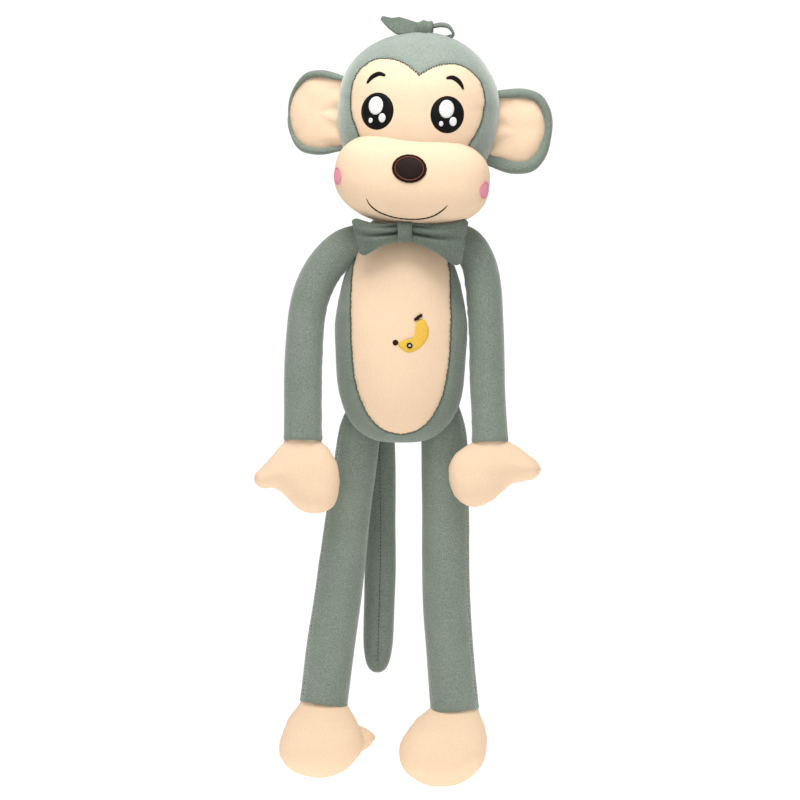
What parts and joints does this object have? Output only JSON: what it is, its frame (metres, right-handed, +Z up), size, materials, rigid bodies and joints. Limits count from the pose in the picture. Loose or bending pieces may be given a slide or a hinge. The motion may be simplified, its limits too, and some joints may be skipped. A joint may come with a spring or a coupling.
{
  "type": "stuffed monkey",
  "caption": "Limp, long-limbed plush monkey with a cream face, muzzle, belly, hands and feet, round ears, a bow tie, a banana embroidered on the belly and a long tail",
  "frame": {"origin": "the crown point on top of the head, where a hand pinches the toy to hold it up", "axes": "+Z up, the toy hangs down -Z; the face looks along -Y; the toy's own left is +X"},
  "size_m": [0.2436, 0.1229, 0.5963],
  "materials": {
    "green_plush": "short-pile grey-green plush, matt with a pale sheen",
    "cream_plush": "smooth short-pile cream plush",
    "stuffing": "white polyester fibre",
    "black_thread": "near-black embroidery thread",
    "brown_thread": "dark brown embroidery thread",
    "pink_thread": "pink embroidery thread",
    "yellow_thread": "yellow embroidery thread"
  },
  "bodies": {
    "head": {"head_cover": "green_plush", "head_stuffing": "stuffing", "face_panel": "cream_plush", "muzzle": "cream_plush", "muzzle_stuffing": "stuffing", "nose": "brown_thread", "smile": "black_thread", "crown_tuft": "green_plush", "right_eye": "black_thread", "right_brow": "black_thread", "right_cheek": "pink_thread", "left_eye": "black_thread", "left_brow": "black_thread", "left_cheek": "pink_thread"},
    "torso": {"torso_cover": "green_plush", "torso_stuffing": "stuffing", "belly_panel": "cream_plush", "banana": "yellow_thread", "banana_stalk": "brown_thread", "banana_end": "black_thread", "bow_tie": "green_plush", "bow_knot": "green_plush"},
    "right_ear": {"right_ear_back": "green_plush", "right_ear_front": "cream_plush"},
    "right_upper_arm": {"right_upper_arm_sleeve": "green_plush", "right_upper_arm_stuffing": "stuffing"},
    "right_forearm": {"right_forearm_sleeve": "green_plush", "right_forearm_stuffing": "stuffing"},
    "right_thigh": {"right_thigh_sleeve": "green_plush", "right_thigh_stuffing": "stuffing"},
    "right_shin": {"right_shin_sleeve": "green_plush", "right_shin_stuffing": "stuffing"},
    "right_hand": {"right_hand": "cream_plush", "right_hand_stuffing": "stuffing"},
    "right_foot": {"right_foot": "cream_plush", "right_foot_stuffing": "stuffing"},
    "left_ear": {"left_ear_back": "green_plush", "left_ear_front": "cream_plush"},
    "left_upper_arm": {"left_upper_arm_sleeve": "green_plush", "left_upper_arm_stuffing": "stuffing"},
    "left_forearm": {"left_forearm_sleeve": "green_plush", "left_forearm_stuffing": "stuffing"},
    "left_thigh": {"left_thigh_sleeve": "green_plush", "left_thigh_stuffing": "stuffing"},
    "left_shin": {"left_shin_sleeve": "green_plush", "left_shin_stuffing": "stuffing"},
    "left_hand": {"left_hand": "cream_plush", "left_hand_stuffing": "stuffing"},
    "left_foot": {"left_foot": "cream_plush", "left_foot_stuffing": "stuffing"},
    "tail_base": {"tail_base_sleeve": "green_plush", "tail_base_stuffing": "stuffing"},
    "tail_tip": {"tail_tip_sleeve": "green_plush", "tail_tip_stuffing": "stuffing"}
  },
  "joints": [
    {"name": "neck", "type": "hinge", "parent": "head", "child": "torso", "pos_m": [-0.018, 0, -0.14043], "axis": [0, 0, 1], "range_deg": [-25, 25]},
    {"name": "right_ear_seam", "type": "hinge", "parent": "head", "child": "right_ear", "pos_m": [-0.0722, 0.00277, -0.0641], "axis": [-0.0958, 0, -0.9954], "range_deg": [-20, 30], "stiffness_Nm_per_rad": 0.02},
    {"name": "left_ear_seam", "type": "hinge", "parent": "head", "child": "left_ear", "pos_m": [0.05409, -0.00277, -0.07626], "axis": [0.0958, 0, 0.9954], "range_deg": [-20, 30], "stiffness_Nm_per_rad": 0.02},
    {"name": "right_shoulder", "type": "hinge", "parent": "torso", "child": "right_upper_arm", "pos_m": [-0.062, -0.004, -0.17003], "axis": [1, 0, 0], "range_deg": [-100, 0]},
    {"name": "right_elbow", "type": "hinge", "parent": "right_upper_arm", "child": "right_forearm", "pos_m": [-0.0956, -0.009, -0.24003], "axis": [-1, 0, 0], "range_deg": [0, 100]},
    {"name": "right_wrist", "type": "hinge", "parent": "right_forearm", "child": "right_hand", "pos_m": [-0.097, -0.016, -0.31703], "axis": [-1, 0, 0], "range_deg": [0, 30]},
    {"name": "right_hip", "type": "hinge", "parent": "torso", "child": "right_thigh", "pos_m": [-0.051, 0.014, -0.31003], "axis": [0, 1, 0], "range_deg": [0, 50]},
    {"name": "right_knee", "type": "hinge", "parent": "right_thigh", "child": "right_shin", "pos_m": [-0.067, 0.014, -0.41403], "axis": [1, 0, 0], "range_deg": [-20, 100]},
    {"name": "right_ankle", "type": "hinge", "parent": "right_shin", "child": "right_foot", "pos_m": [-0.081, 0.013, -0.52203], "axis": [-1, 0, 0], "range_deg": [-15, 15]},
    {"name": "left_shoulder", "type": "hinge", "parent": "torso", "child": "left_upper_arm", "pos_m": [0.03, -0.004, -0.17003], "axis": [1, 0, 0], "range_deg": [-100, 0]},
    {"name": "left_elbow", "type": "hinge", "parent": "left_upper_arm", "child": "left_forearm", "pos_m": [0.046, -0.009, -0.24003], "axis": [-1, 0, 0], "range_deg": [0, 100]},
    {"name": "left_wrist", "type": "hinge", "parent": "left_forearm", "child": "left_hand", "pos_m": [0.048, -0.016, -0.31703], "axis": [-1, 0, 0], "range_deg": [0, 30]},
    {"name": "left_hip", "type": "hinge", "parent": "torso", "child": "left_thigh", "pos_m": [0.012, 0.014, -0.31003], "axis": [0, -1, 0], "range_deg": [0, 50]},
    {"name": "left_knee", "type": "hinge", "parent": "left_thigh", "child": "left_shin", "pos_m": [0.014, 0.014, -0.41403], "axis": [1, 0, 0], "range_deg": [-20, 100]},
    {"name": "left_ankle", "type": "hinge", "parent": "left_shin", "child": "left_foot", "pos_m": [0.021, 0.013, -0.52603], "axis": [-1, 0, 0], "range_deg": [-15, 15]},
    {"name": "tail_root", "type": "hinge", "parent": "torso", "child": "tail_base", "pos_m": [-0.038, 0.04005, -0.30003], "axis": [1, 0, 0], "range_deg": [0, 90]},
    {"name": "tail_bend", "type": "hinge", "parent": "tail_base", "child": "tail_tip", "pos_m": [-0.037, 0.04705, -0.40203], "axis": [1, 0, 0], "range_deg": [-30, 60]}
  ]
}
